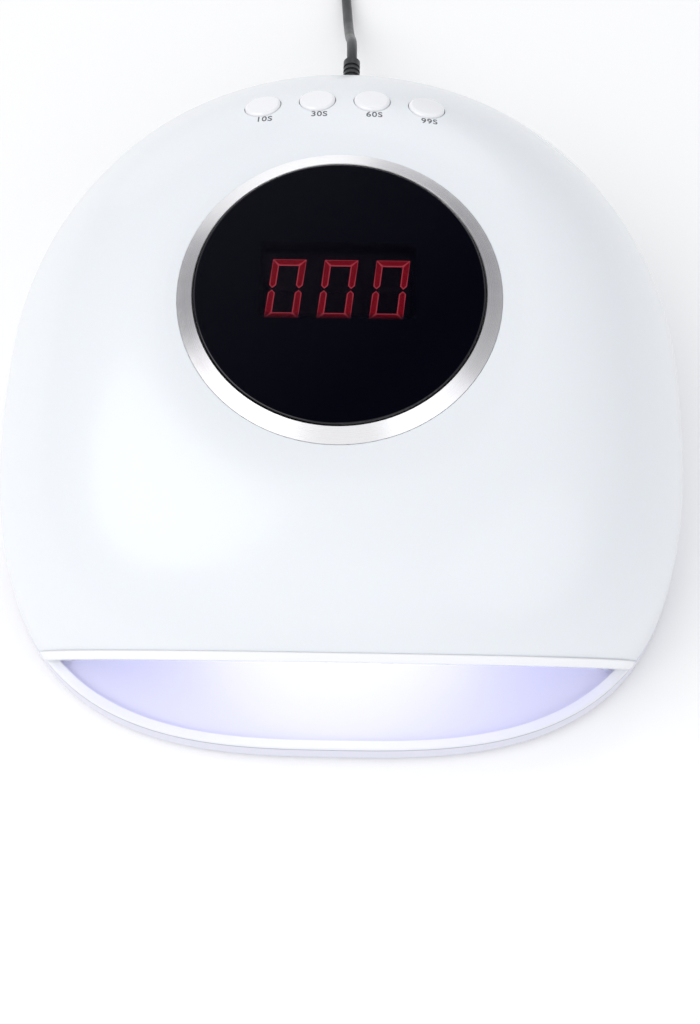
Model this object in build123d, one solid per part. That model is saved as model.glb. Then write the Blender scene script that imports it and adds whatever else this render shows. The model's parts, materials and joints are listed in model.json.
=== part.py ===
from build123d import *
import os
from math import asin, atan2, cos, pi, radians, sin, tan

# UV LED nail lamp: a white domed housing that stands by magnets on a flat removable base.
# Frame: millimetres, +Z up, the hand goes in from -Y, and the power lead leaves at +Y.
# The origin is on the table, under the middle of the base.

# ---- Driving dimensions: outer form ----
HALF_WIDTH = 100.0        # of the housing and of the base
FRONT_DEPTH = 105.0       # from the origin to the front edge of the base
REAR_DEPTH = 105.0
FRONT_POWER = 2.95        # superellipse power of the outline, front half and rear half
REAR_POWER = 2.1
PARTING_Z = 8.0           # the housing stands on the base at this height
FACET_RADIUS = 46.0       # flat round top that carries the display
FACET_Y = -8.5
FACET_Z = 86.0
FACET_TILT = 8.6          # degrees, the display leans towards the user
WALL = 2.4

# How a vault closes in as it rises: powers of the side profile, and how late the facet's lean sets in
PROFILE_POWER = 1.96
RISE_POWER = 2.21
LEAN_POWER = 1.76
SECTION_POINTS = 48
SECTION_STEPS = 9

# ---- Driving dimensions: mouth, reflector and base ----
MOUTH_Y = -99.1           # front lip of the mouth, at MOUTH_Z
MOUTH_Z = 52.0
MOUTH_LEAN = 66.0         # degrees from the table; the lip overhangs like a visor
TRIM_THICKNESS = 2.5
TRIM_PROUD = 0.3
TRIM_MARGIN = 1.0         # by which the cut through the lip passes its two faces
LINER_HALF_WIDTH = 90.0
LINER_FRONT = 112.0
LINER_REAR = 84.0
LINER_FACET_RADIUS = 70.0
LINER_CEILING_Z = 50.0
LINER_WALL = 2.0
FLANGE_TOP_Z = 11.0
FLANGE_GAP = 0.35         # from the flange to the dome's inner wall
FIT_GAP = 0.1
FOOT_HEIGHT = 2.0         # rubber ring, part of it sunk into the base
BASE_BOTTOM_Z = 1.2
BASE_FLOOR_Z = 5.5
BASE_PLATE_Z = 3.2        # underside of the floor plate
BASE_RIM = 2.6
SKIRT_WIDTH = 8.0
MAGNET_INSET = 6.2        # magnets, in from the outline
BOSS_INSET = 5.4          # liner screws, in from the outline
BOSS_RADIUS = 2.75
BOSS_HEIGHT = 13.0
SCREW_ANGLES = (-32, 12, 60, 120, 168, 212)
MAGNET_ANGLES = (-12, 36, 144, 192)
MAGNET_RADIUS = 3.0
MAGNET_THICKNESS = 2.0
HOUSING_MAGNET_Z = PARTING_Z + 0.6
TRAY_MAGNET_Z = PARTING_Z - FIT_GAP - MAGNET_THICKNESS

# ---- Driving dimensions: screws; a head is (radius, height) ----
SCREW_GAP = 0.05
LINER_SCREW_RADIUS = 1.3
LINER_SCREW_LENGTH = 10.0
LINER_SCREW_HEAD = (2.2, 1.4)
LINER_SCREW_SEAT = 1.6    # depth of the head's recess in the flange
BOARD_SCREW_RADIUS = 1.05
BOARD_SCREW_LENGTH = 6.0
BOARD_SCREW_HEAD = (2.0, 1.3)

# ---- Driving dimensions: display ----
RING_RADIUS = 43.0
RING_INNER = 38.7
RING_SEAT = 0.8           # depth of the ring's seat in the facet
RING_EDGE = 0.15          # height of the ring's outer edge over the facet
RING_TOP = 2.45
WINDOW_RADIUS = 38.5
WINDOW_TOP = 2.7
ADHESIVE = 0.3
DISPLAY_OPENING = 29.0
MODULE_SIZE = (44.0, 24.0, 8.0)
SEGMENT_THICKNESS = 0.2
DIGIT_HEIGHT = 17.6
DIGIT_WIDTH = 8.9
DIGIT_PITCH = 13.8
DIGIT_STROKE = 1.8
DIGIT_SLANT = 6.0         # degrees
SEGMENT_GAP = 0.1         # at the mitred corners, half of it on each side
TIP_GAP = 0.3             # from a bar's pointed end to the digit's middle
DIGIT_CENTRE = (-0.6, 2.0)
BOARD_THICKNESS = 1.6
CONTROL_BOARD = (72.0, 54.0)
CONTROL_SCREWS = (32.0, 23.0)
BOARD_BOSS_RADIUS = 2.8
CONNECTOR_XS = (-20.0, 0.0, 20.0)
CONNECTOR_Y = 20.0
CONNECTOR_HEIGHT = 5.0

# ---- Driving dimensions: buttons ----
BUTTON_NAMES = ("10s", "30s", "60s", "99s")
BUTTON_PITCH = 15.25
BUTTON_Y = 53.5           # of the two outer buttons
BUTTON_ARC = 0.7          # the two inner ones sit this much further back
BUTTON_LEAN = 19.0        # degrees, the buttons' common axis leans back
BUTTON_RADIUS = 5.0
BUTTON_GAP = 0.2
BUTTON_PROUD = 0.9
BUTTON_ROUND = 0.9
BUTTON_FLANGE = 6.3
BUTTON_FLANGE_DEPTH = 4.0  # of the flange's top, under the lowest button's crown
BUTTON_FLANGE_HEIGHT = 1.0
BUTTON_STEM = 2.0
BUTTON_BOARD_DEPTH = 13.0
BUTTON_BOARD = (74.0, 14.0)
BUTTON_SCREW_X = 33.5
SWITCH_SIZE = (6.0, 6.0, 3.5)
PLUNGER_RADIUS = 1.7
PLUNGER_HEIGHT = 1.3      # over the switch body
PLUNGER_DEPTH = 1.1       # inside the switch body

# ---- Driving dimensions: LEDs ----
LED_RADIUS = 2.5
LED_HOLE = 2.9
CEILING_RINGS = ((22.0, 6), (46.0, 12))
CEILING_BOARD_RADIUS = 57.0
SIDE_LED_Z = 28.0
SIDE_LED_PITCH = 16.0
SIDE_LED_COUNT = 4
SIDE_BOARD_Y = -6.0
SIDE_BOARD = (57.0, 9.0)
SIDE_STANDOFF = 2.0
SENSOR_Y = -71.0

# ---- Driving dimensions: power inlet and lead ----
JACK_Z = 25.0
JACK_SEAT = 1.6           # depth of the flat seat in the rear wall
JACK_SEAT_RADIUS = 6.5
JACK_PAD_RADIUS = 7.5
JACK_PAD = 3.3            # wall thickness behind the seat
JACK_RADIUS = 4.0
JACK_FLANGE = (5.5, 1.2)
JACK_LENGTH = 15.0
JACK_BORE = (3.0, 9.8)
PIN_RADIUS = 1.0
PLUG_RADIUS = 2.75
PLUG_LENGTH = 9.4
PLUG_GAP = 0.2            # between the grip and the inlet's face
PLUG_GRIP = (4.75, 17.5)
RELIEF = (2.75, 12.5)
CORD_RADIUS = 1.7
CORD_END_Y = 228.0

Z_UP = (Align.CENTER, Align.CENTER, Align.MIN)
Z_DOWN = (Align.CENTER, Align.CENTER, Align.MAX)


# ---- Shared shapes ----
class Vault:
    """A superellipse outline that rises from the parting plane and rounds into a flat round facet."""

    def __init__(self, half_width, front, rear, facet_radius, facet_z, tilt, facet_y=FACET_Y):
        self.half_width = half_width
        self.front = front
        self.rear = rear
        self.facet_radius = facet_radius
        self.facet_y = facet_y
        self.facet_z = facet_z
        self.tilt = tilt

    def inset(self, distance):
        """The same vault with its walls and facet moved inwards; the parting plane stays."""
        lean = radians(self.tilt)
        return Vault(
            self.half_width - distance, self.front - distance, self.rear - distance,
            self.facet_radius, self.facet_z - distance * cos(lean), self.tilt,
            self.facet_y + distance * sin(lean))

    def radius(self, angle, spread):
        """Distance from the section's centre to its outline; spread is 1 at the base, 0 at the facet."""
        c, s = abs(cos(angle)), abs(sin(angle))
        depth, power = (self.rear, REAR_POWER) if sin(angle) >= 0 else (self.front, FRONT_POWER)
        across = self.facet_radius + (self.half_width - self.facet_radius) * spread
        along = self.facet_radius + (depth - self.facet_radius) * spread
        power = 2 + (power - 2) * spread
        return ((c / across) ** power + (s / along) ** power) ** (-1 / power)

    def section(self, spread, rise):
        """Closed outline at a height given by rise, 0 at the base and 1 at the facet."""
        lean_in = rise ** LEAN_POWER
        lean = radians(self.tilt) * lean_in
        height = PARTING_Z + (self.facet_z - PARTING_Z) * rise
        points = []
        for i in range(SECTION_POINTS):
            angle = 2 * pi * i / SECTION_POINTS
            reach = self.radius(angle, spread)
            x, y = reach * cos(angle), reach * sin(angle)
            points.append(Vector(x, self.facet_y * lean_in + y * cos(lean), height + y * sin(lean)))
        return Wire([Edge.make_spline(points, periodic=True)])

    def solid(self):
        sections = []
        for i in range(SECTION_STEPS + 1):
            angle = pi / 2 * i / SECTION_STEPS
            spread = max(cos(angle), 0.0) ** (2 / PROFILE_POWER)
            sections.append(self.section(spread, sin(angle) ** (2 / RISE_POWER)))
        return Solid.make_loft(sections)

    def slab(self, low, high):
        """The base outline as a straight-sided slab between two heights."""
        face = Face(self.section(1.0, 0.0)).moved(Location((0, 0, low - PARTING_Z)))
        return Solid.extrude(face, Vector(0, 0, high - low))

    def spread_at(self, z):
        rise = (z - PARTING_Z) / (self.facet_z - PARTING_Z)
        return cos(asin(rise ** (RISE_POWER / 2))) ** (2 / PROFILE_POWER)

    def side_at(self, z):
        """Half width of the wall at a height."""
        return self.facet_radius + (self.half_width - self.facet_radius) * self.spread_at(z)

    def rear_at(self, z):
        """How far back the rear wall is at a height."""
        rise = (z - PARTING_Z) / (self.facet_z - PARTING_Z)
        along = self.facet_radius + (self.rear - self.facet_radius) * self.spread_at(z)
        return along + self.facet_y * rise ** LEAN_POWER


SHELL = Vault(HALF_WIDTH, FRONT_DEPTH, REAR_DEPTH, FACET_RADIUS, FACET_Z, FACET_TILT)
LINER = Vault(LINER_HALF_WIDTH, LINER_FRONT, LINER_REAR, LINER_FACET_RADIUS, LINER_CEILING_Z, 0.0)
FACET = Plane(
    origin=(0, FACET_Y, FACET_Z), x_dir=(1, 0, 0),
    z_dir=(0, -sin(radians(FACET_TILT)), cos(radians(FACET_TILT))))
BUTTON_AXIS = Vector(0, sin(radians(BUTTON_LEAN)), cos(radians(BUTTON_LEAN)))


def solids_of(shape):
    """The solids of a shape as a list, whatever wraps them."""
    return list(shape.solids())


def group(shapes):
    """Separate solids that share one node."""
    found = []
    for shape in shapes:
        found.extend(solids_of(shape))
    return Compound(children=found)


def shifted(plane, x, y=0.0):
    """The same plane with its origin moved along its own X and Y."""
    origin = plane.from_local_coords(Vector(x, y, 0))
    return Plane(origin=origin, x_dir=plane.x_dir, z_dir=plane.z_dir)


def disc(plane, radius, low, high):
    """A cylinder that stands on a plane, between two heights over it."""
    return plane.offset(low) * Cylinder(radius, high - low, align=Z_UP)


def ring(plane, inner, outer, low, high):
    return disc(plane, outer, low, high) - disc(plane, inner, low, high)


def block(plane, size, low, high, x=0.0, y=0.0):
    """A box of (x, y) size that stands on a plane, between two heights over it."""
    return plane.offset(low) * Pos(x, y) * Box(size[0], size[1], high - low, align=Z_UP)


def turned(points):
    """A solid turned about Z from (radius, height) points."""
    profile = make_face(Plane.XZ * Polyline(*points, close=True))
    return revolve(profile, axis=Axis.Z)


def wire_along(points, radius, tangents=None):
    """A round wire along a smooth curve through points."""
    path = Edge.make_spline([Vector(*p) for p in points], tangents=tangents)
    profile = Plane(origin=path @ 0, z_dir=path % 0) * Circle(radius)
    return sweep(profile, path=Wire([path]))


def on_outline(angle_deg, inset, z=0.0):
    """A point near the outline, seen from the origin at an angle, moved in from it."""
    angle = radians(angle_deg)
    reach = SHELL.radius(angle, 1.0) - inset
    return Vector(reach * cos(angle), reach * sin(angle), z)


def mouth_plane(depth):
    """The plane of the mouth, facing out, moved back by a depth."""
    lean = radians(MOUTH_LEAN)
    forward = Vector(0, -sin(lean), -cos(lean))
    return Plane(origin=Vector(0, MOUTH_Y, MOUTH_Z) - forward * depth, x_dir=(1, 0, 0), z_dir=forward)


def mouth_block(depth):
    """Everything in front of the mouth plane, moved back by a depth."""
    reach = 3 * FRONT_DEPTH
    return mouth_plane(depth) * Box(reach, reach, reach, align=Z_UP)


def mouth_slab(margin=0.0):
    """The layer that the lip fills, behind the mouth plane; a margin makes it thicker on both sides."""
    reach = 3 * FRONT_DEPTH
    return mouth_plane(TRIM_THICKNESS + margin) * Box(reach, reach, TRIM_THICKNESS + 2 * margin, align=Z_UP)


def crown_point(x, y):
    """The point of the outer dome over (x, y)."""
    line = Edge.make_line((x, y, PARTING_Z + WALL), (x, y, 2 * FACET_Z))
    inside = line.intersect(OUTER_DOME)
    return max((v for e in inside for v in e.vertices()), key=lambda v: v.Z).center()


OUTER_DOME = SHELL.solid()
CROWN = crown_point(1.5 * BUTTON_PITCH, BUTTON_Y)
# Heights along the button axis are counted from this plane, through the outer buttons' crowns.
BUTTON_PLANE = Plane(origin=(0, CROWN.Y, CROWN.Z), x_dir=(1, 0, 0), z_dir=BUTTON_AXIS)
# Places of the buttons on that plane, left to right
BUTTON_PLACES = (
    (-1.5 * BUTTON_PITCH, 0.0), (-0.5 * BUTTON_PITCH, BUTTON_ARC),
    (0.5 * BUTTON_PITCH, BUTTON_ARC), (1.5 * BUTTON_PITCH, 0.0))
JACK_SEAT_Y = SHELL.rear_at(JACK_Z) - JACK_SEAT
JACK_FACE_Y = JACK_SEAT_Y + JACK_FLANGE[1]
CONTROL_FACE = -RING_SEAT - MODULE_SIZE[2]
CONTROL_BACK = CONTROL_FACE - BOARD_THICKNESS


# ---- Reference planes ----
def jack_plane(y):
    """A plane across the power inlet's axis, facing out of the rear."""
    return Plane(origin=(0, y, JACK_Z), x_dir=(1, 0, 0), z_dir=(0, 1, 0))


def ceiling_led_planes():
    """Planes on the ceiling board, facing down at the hand."""
    planes = []
    for radius, count in CEILING_RINGS:
        for i in range(count):
            angle = 2 * pi * (i + 0.5) / count
            x, y = radius * cos(angle), FACET_Y + radius * sin(angle)
            planes.append(Plane(origin=(x, y, LINER_CEILING_Z), x_dir=(1, 0, 0), z_dir=(0, 0, -1)))
    return planes


def side_plane(side):
    """The inner face of a side board: side is -1 for left and 1 for right. It faces into the chamber."""
    step = 5.0
    slope = atan2(LINER.side_at(SIDE_LED_Z - step) - LINER.side_at(SIDE_LED_Z + step), 2 * step)
    inward = Vector(-side * cos(slope), 0, -sin(slope))
    wall = Vector(side * LINER.side_at(SIDE_LED_Z), SIDE_BOARD_Y, SIDE_LED_Z)
    return Plane(origin=wall - inward * SIDE_STANDOFF, x_dir=(0, 1, 0), z_dir=inward)


def side_led_xs():
    return [(i - (SIDE_LED_COUNT - 1) / 2) * SIDE_LED_PITCH for i in range(SIDE_LED_COUNT)]


def side_post_xs():
    """Posts that hold a side board, in the outer gaps between its LEDs."""
    return (-SIDE_LED_PITCH, SIDE_LED_PITCH)


def led(plane, stem, x=0.0):
    """An LED bead: a round stem with a domed end, its foot on a plane."""
    body = Cylinder(LED_RADIUS, stem, align=Z_UP) + Pos(0, 0, stem) * Sphere(LED_RADIUS)
    foot = Box(4 * LED_RADIUS, 4 * LED_RADIUS, 2 * LED_RADIUS, align=Z_DOWN)
    return plane * Pos(x, 0, 0) * (body - foot)


# ---- Housing ----
def shell_bosses():
    """Screw bosses for the liner, the control board and the button board, all inside the dome."""
    bosses = []
    for angle in SCREW_ANGLES:
        foot = Plane(on_outline(angle, BOSS_INSET))
        bosses.append(disc(foot, BOSS_RADIUS, FLANGE_TOP_Z, FLANGE_TOP_Z + BOSS_HEIGHT))
    for x in (-CONTROL_SCREWS[0], CONTROL_SCREWS[0]):
        for y in (-CONTROL_SCREWS[1], CONTROL_SCREWS[1]):
            bosses.append(disc(shifted(FACET, x, y), BOARD_BOSS_RADIUS, CONTROL_FACE, -RING_SEAT - 0.6))
    limit = SHELL.inset(WALL / 2).solid()
    for x in (-BUTTON_SCREW_X, BUTTON_SCREW_X):
        bosses.append(disc(shifted(BUTTON_PLANE, x), BOARD_BOSS_RADIUS, -BUTTON_BOARD_DEPTH, 0.0) & limit)
    bosses.append(disc(jack_plane(JACK_SEAT_Y - JACK_PAD), JACK_PAD_RADIUS, 0.0, 2 * JACK_PAD) & limit)
    return bosses


def boss_holes():
    holes = []
    for angle in SCREW_ANGLES:
        foot = Plane(on_outline(angle, BOSS_INSET, FLANGE_TOP_Z))
        holes.append(disc(foot, LINER_SCREW_RADIUS + SCREW_GAP, 0.0, BOSS_HEIGHT - 2.0))
    for plane in control_screw_planes() + button_screw_planes():
        holes.append(disc(plane, BOARD_SCREW_RADIUS + SCREW_GAP, 0.0, BOARD_SCREW_LENGTH + 0.5))
    return holes


def control_screw_planes():
    """Under the control board, at its screws, facing up."""
    xs, ys = CONTROL_SCREWS
    return [shifted(FACET.offset(CONTROL_BACK), x, y) for x in (-xs, xs) for y in (-ys, ys)]


def button_screw_planes():
    back = -BUTTON_BOARD_DEPTH - BOARD_THICKNESS
    return [shifted(BUTTON_PLANE.offset(back), x) for x in (-BUTTON_SCREW_X, BUTTON_SCREW_X)]


def vent_slots():
    """Upright air slots in the rear wall, in a row on each side of the power inlet."""
    slots = []
    for i in range(6):
        for side in (-1, 1):
            x = side * (20.0 + 4.4 * i)
            slot = Box(2.0, 40.0, 14.0) + Pos(0, 0, 7) * Rot(90, 0, 0) * Cylinder(1.0, 40.0)
            slot += Pos(0, 0, -7) * Rot(90, 0, 0) * Cylinder(1.0, 40.0)
            slots.append(Pos(x, REAR_DEPTH - 8, JACK_Z) * slot)
    return slots


def upper_shell():
    shell = OUTER_DOME - SHELL.inset(WALL).solid()
    shell -= mouth_block(TRIM_THICKNESS)
    shell += shell_bosses()
    cuts = boss_holes() + vent_slots()
    cuts.append(disc(FACET, RING_RADIUS + FIT_GAP, -RING_SEAT, 5.0))
    cuts.append(disc(FACET, DISPLAY_OPENING, -2 * WALL, 5.0))
    for place in BUTTON_PLACES:
        cuts.append(disc(shifted(BUTTON_PLANE, *place), BUTTON_RADIUS + BUTTON_GAP, -3 * WALL, 8.0))
    seat = jack_plane(JACK_SEAT_Y)
    cuts.append(disc(seat, JACK_SEAT_RADIUS, 0.0, 2 * JACK_SEAT))
    cuts.append(disc(seat, JACK_RADIUS + SCREW_GAP, -2 * JACK_PAD, JACK_SEAT))
    return shell - cuts


def mouth_trim():
    """The lip around the hand opening, between the dome's skin and the reflector."""
    lip = SHELL.inset(-TRIM_PROUD).solid() & mouth_slab()
    return lip - (LINER.inset(LINER_WALL).solid() & mouth_slab(TRIM_MARGIN))


def reflector_liner():
    """The white inner chamber, with its bottom flange, LED holes and posts for the side boards."""
    liner = LINER.solid() & SHELL.inset(WALL + 2 * FIT_GAP).solid()
    flange = SHELL.inset(WALL + FLANGE_GAP).slab(PARTING_Z, FLANGE_TOP_Z)
    liner += flange
    liner += LINER.slab(BASE_FLOOR_Z + 0.3, PARTING_Z)
    for side in (-1, 1):
        plane = side_plane(side)
        for x in side_post_xs():
            liner += disc(shifted(plane, x), 2.5, 0.0, SIDE_STANDOFF + LINER_WALL / 2)
    liner -= LINER.inset(LINER_WALL).solid()
    liner -= LINER.inset(LINER_WALL).slab(BASE_BOTTOM_Z, PARTING_Z)
    liner -= mouth_block(TRIM_THICKNESS)
    cuts = [disc(plane, LED_HOLE, 0.0, 10.0) for plane in ceiling_led_planes()]
    for side in (-1, 1):
        plane = side_plane(side)
        cuts += [disc(shifted(plane, x), LED_HOLE, 0.0, 12.0) for x in side_led_xs()]
    cuts += [disc(plane, 1.6, 0.0, 6.0) for plane in sensor_planes()]
    for angle in SCREW_ANGLES:
        foot = Plane(on_outline(angle, BOSS_INSET, PARTING_Z))
        cuts.append(disc(foot, LINER_SCREW_RADIUS + FIT_GAP, 0.0, FLANGE_TOP_Z))
        cuts.append(disc(foot, LINER_SCREW_HEAD[0] + 2 * FIT_GAP, 0.0, LINER_SCREW_SEAT))
    for angle in MAGNET_ANGLES:
        foot = Plane(on_outline(angle, MAGNET_INSET))
        cuts.append(disc(foot, MAGNET_RADIUS + SCREW_GAP, HOUSING_MAGNET_Z, FLANGE_TOP_Z))
    return liner - cuts


# ---- Display ----
def bezel_ring():
    """Satin metal ring with a cone-shaped face that rises to the glass."""
    lip = 0.25
    return FACET * turned([
        (RING_INNER, -RING_SEAT), (RING_RADIUS, -RING_SEAT), (RING_RADIUS, RING_EDGE),
        (RING_INNER + lip, RING_TOP), (RING_INNER, RING_TOP - lip)])


def display_window():
    """Smoked window, with its front edge rounded over."""
    round_over = 0.5
    bottom = ADHESIVE - RING_SEAT
    window = Cylinder(WINDOW_RADIUS, WINDOW_TOP - bottom, align=Z_UP)
    window = fillet(window.edges().group_by(Axis.Z)[-1], round_over)
    return FACET.offset(bottom) * window


def window_adhesive():
    return ring(FACET, DISPLAY_OPENING + 1, WINDOW_RADIUS - 0.5, -RING_SEAT, ADHESIVE - RING_SEAT)


def display_module():
    size_x, size_y, _ = MODULE_SIZE
    return block(FACET, (size_x, size_y), CONTROL_FACE, -RING_SEAT, *DIGIT_CENTRE)


def digit_bars(lit):
    """Outlines of one digit's six lit bars, which read 0, or of its dark middle bar, before the slant."""
    half, tall, stroke, gap = DIGIT_WIDTH / 2, DIGIT_HEIGHT / 2, DIGIT_STROKE, SEGMENT_GAP / 2
    if not lit:
        tip, end, edge = half - stroke / 2 - TIP_GAP, half - stroke - TIP_GAP, stroke / 2
        return [[(-tip, 0), (-end, edge), (end, edge), (tip, 0), (end, -edge), (-end, -edge)]]
    top = [(gap - half, tall), (half - gap, tall)]
    top += [(half - stroke - gap, tall - stroke), (stroke + gap - half, tall - stroke)]
    shoulder = stroke / 2 + TIP_GAP
    right = [(half, tall - gap), (half, shoulder), (half - stroke / 2, TIP_GAP)]
    right += [(half - stroke, shoulder), (half - stroke, tall - stroke - gap)]
    bars = [top, [(x, -y) for x, y in top]]
    for side in (-1, 1):
        for up in (-1, 1):
            bars.append([(side * x, up * y) for x, y in right])
    return bars


def digit_segments(lit):
    """All lit bars, or all dark ones, of the three slanted digits on the module's face."""
    slant = tan(radians(DIGIT_SLANT))
    face_plane = FACET.offset(-RING_SEAT)
    bars = []
    for digit_x in (-DIGIT_PITCH, 0.0, DIGIT_PITCH):
        for outline in digit_bars(lit):
            points = [(DIGIT_CENTRE[0] + digit_x + x + y * slant, DIGIT_CENTRE[1] + y) for x, y in outline]
            face = make_face(Polyline(*points, close=True))
            bars.append(face_plane * extrude(face, SEGMENT_THICKNESS, dir=(0, 0, 1)))
    return group(bars)


# ---- Electronics ----
def control_board():
    board = block(FACET, CONTROL_BOARD, CONTROL_BACK, CONTROL_FACE)
    for plane in control_screw_planes():
        board -= disc(plane, 1.3, 0.0, BOARD_THICKNESS)
    return board


def under_board(size, height, x, y):
    """A component on the underside of the control board."""
    return block(FACET, size, CONTROL_BACK - height, CONTROL_BACK, x, y)


def controller_chip():
    return under_board((10.0, 10.0), 1.5, -4.0, 2.0)


def driver_transistors():
    return group([under_board((6.5, 6.0), 2.3, x, -16.0) for x in (-18.0, -8.0, 2.0)])


def capacitors():
    back = FACET.offset(CONTROL_BACK)
    cans = []
    for x, y in ((14.0, -15.0), (23.0, -15.0)):
        cans.append(back * Pos(x, y) * Cylinder(3.15, 7.5, align=Z_DOWN))
    return group(cans)


def board_connectors():
    return group([under_board((9.0, 5.0), CONNECTOR_HEIGHT, x, CONNECTOR_Y) for x in CONNECTOR_XS])


def connector_foot(x, shift=0.0):
    """A point under a connector of the control board."""
    plane = FACET.offset(CONTROL_BACK - CONNECTOR_HEIGHT)
    return plane.from_local_coords(Vector(x + shift, CONNECTOR_Y, 0))


def button_board():
    back = -BUTTON_BOARD_DEPTH - BOARD_THICKNESS
    board = block(BUTTON_PLANE, BUTTON_BOARD, back, -BUTTON_BOARD_DEPTH)
    for plane in button_screw_planes():
        board -= disc(plane, 1.3, 0.0, BOARD_THICKNESS)
    return board


def switch_bodies():
    """Tactile switches, each with a bore that its plunger runs in."""
    size_x, size_y, height = SWITCH_SIZE
    top = height - BUTTON_BOARD_DEPTH
    bodies = []
    for place in BUTTON_PLACES:
        plane = shifted(BUTTON_PLANE, *place)
        body = block(plane, (size_x, size_y), -BUTTON_BOARD_DEPTH, top)
        bodies.append(body - disc(plane, PLUNGER_RADIUS + 0.05, top - 2.0, top))
    return group(bodies)


def button_cap(place):
    """A cap that follows the dome a little proud of it, with a flange that keeps it in."""
    plane = shifted(BUTTON_PLANE, *place)
    flange_low = -BUTTON_FLANGE_DEPTH - BUTTON_FLANGE_HEIGHT
    top = disc(plane, BUTTON_RADIUS, flange_low, 10.0) & SHELL.inset(-BUTTON_PROUD).solid()
    crown = top.edges().filter_by(lambda e: plane.to_local_coords(e.center()).Z > -2.0)
    top = fillet(crown, BUTTON_ROUND)
    flange = disc(plane, BUTTON_FLANGE, flange_low, -BUTTON_FLANGE_DEPTH)
    stem_end = SWITCH_SIZE[2] + PLUNGER_HEIGHT - BUTTON_BOARD_DEPTH
    return top + flange + disc(plane, BUTTON_STEM, stem_end, flange_low)


def switch_plunger(place):
    plane = shifted(BUTTON_PLANE, *place)
    top = SWITCH_SIZE[2] - BUTTON_BOARD_DEPTH
    return disc(plane, PLUNGER_RADIUS, top - PLUNGER_DEPTH, top + PLUNGER_HEIGHT)


def ceiling_led_board():
    return disc(Plane((0, FACET_Y, LINER_CEILING_Z)), CEILING_BOARD_RADIUS, 0.0, BOARD_THICKNESS)


def ceiling_leds():
    stem = LINER_WALL + 1.0
    return group([led(plane, stem) for plane in ceiling_led_planes()])


def side_led_board(side):
    return block(side_plane(side), SIDE_BOARD, -BOARD_THICKNESS, 0.0)


def side_leds(side):
    stem = SIDE_STANDOFF + LINER_WALL + 1.0
    return group([led(side_plane(side), stem, x) for x in side_led_xs()])


def sensor_planes():
    """The two infrared parts that notice a hand, looking down at the mouth."""
    return [
        Plane(origin=(x, SENSOR_Y, LINER_CEILING_Z), x_dir=(1, 0, 0), z_dir=(0, 0, -1))
        for x in (-3.5, 3.5)]


def hand_sensors():
    """An emitter and a receiver, each a round body that reaches into its hole."""
    return group([disc(plane, 1.5, 0.0, LINER_WALL + 0.6) for plane in sensor_planes()])


def sensor_board():
    return block(Plane((0, SENSOR_Y, LINER_CEILING_Z)), (20.0, 7.0), 0.0, 1.2)


def ribbon():
    """Flat cable from the button board's underside to the control board's middle connector."""
    start = BUTTON_PLANE.offset(-BUTTON_BOARD_DEPTH - BOARD_THICKNESS).origin
    end = connector_foot(0.0)
    thick = 0.8
    low = end - FACET.z_dir * 3.0
    path = Edge.make_spline([start, Vector(0, 34, low.Z - 2), end], tangents=[-BUTTON_AXIS, FACET.z_dir])
    profile = Plane(origin=start, x_dir=(1, 0, 0), z_dir=-BUTTON_AXIS) * Rectangle(8.0, thick)
    return sweep(profile, path=Wire([path]))


def power_wires():
    """Two wires from the power inlet up to the control board."""
    end_y = JACK_FACE_Y - JACK_LENGTH
    wires = []
    for side in (-1, 1):
        x = 1.8 * side
        goal = connector_foot(CONNECTOR_XS[0], 2.0 * side)
        points = [(x, end_y, JACK_Z), (x, end_y - 3.4, JACK_Z + 6), (x - 4, 76, 52)]
        points += [(goal.X, 40, 64), tuple(goal)]
        wires.append(wire_along(points, 0.8, [Vector(0, -1, 0), FACET.z_dir]))
    return group(wires)


def led_wires():
    """Pairs of wires from the control board to the ceiling board, and on to both side boards."""
    wires = []
    top = LINER_CEILING_Z + BOARD_THICKNESS
    for shift in (-1.5, 1.5):
        goal = connector_foot(CONNECTOR_XS[2], shift)
        start = (34.0 + shift, 10.0, top)
        points = [start, (32 + shift, 14, 62), tuple(goal)]
        wires.append(wire_along(points, 0.7, [Vector(0, 0, 1), FACET.z_dir]))
        for side in (-1, 1):
            plane = side_plane(side)
            edge = plane.from_local_coords(Vector(shift, -side * SIDE_BOARD[1] / 2, -BOARD_THICKNESS / 2))
            points = [(side * 50, SIDE_BOARD_Y + shift, top), (side * 64, SIDE_BOARD_Y + shift, top + 7)]
            points += [(side * 82, SIDE_BOARD_Y + shift, top - 2), tuple(edge)]
            wires.append(wire_along(points, 0.6, [Vector(0, 0, 1), plane.y_dir * side]))
    return group(wires)


# ---- Power inlet and lead ----
def dc_jack():
    outside = jack_plane(JACK_FACE_Y)
    flange_radius, flange_height = JACK_FLANGE
    jack = disc(outside, flange_radius, -flange_height, 0.0)
    jack += disc(outside, JACK_RADIUS, -JACK_LENGTH, -flange_height)
    bore_radius, bore_depth = JACK_BORE
    return jack - disc(outside, bore_radius, -bore_depth, 0.0)


def jack_centre_pin():
    outside = jack_plane(JACK_FACE_Y)
    pin = disc(outside, PIN_RADIUS, -JACK_BORE[1], -1.5)
    return fillet(pin.edges().group_by(Axis.Y)[-1], 0.6)


def jack_nut():
    """Hexagon nut that clamps the inlet against the pad inside the wall."""
    inside = jack_plane(JACK_SEAT_Y - JACK_PAD)
    nut = extrude(inside * RegularPolygon(6.2, 6), -2.5)
    return nut - disc(inside, JACK_RADIUS, -2.5, 0.0)


def plug_barrel():
    """The plug's sprung outer sleeve."""
    face = jack_plane(JACK_FACE_Y + PLUG_GAP)
    return ring(face, 1.9, PLUG_RADIUS, -PLUG_LENGTH, 0.0)


def plug_insulator():
    face = jack_plane(JACK_FACE_Y + PLUG_GAP)
    return ring(face, 1.25, 1.9, -PLUG_LENGTH, 0.0)


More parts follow.
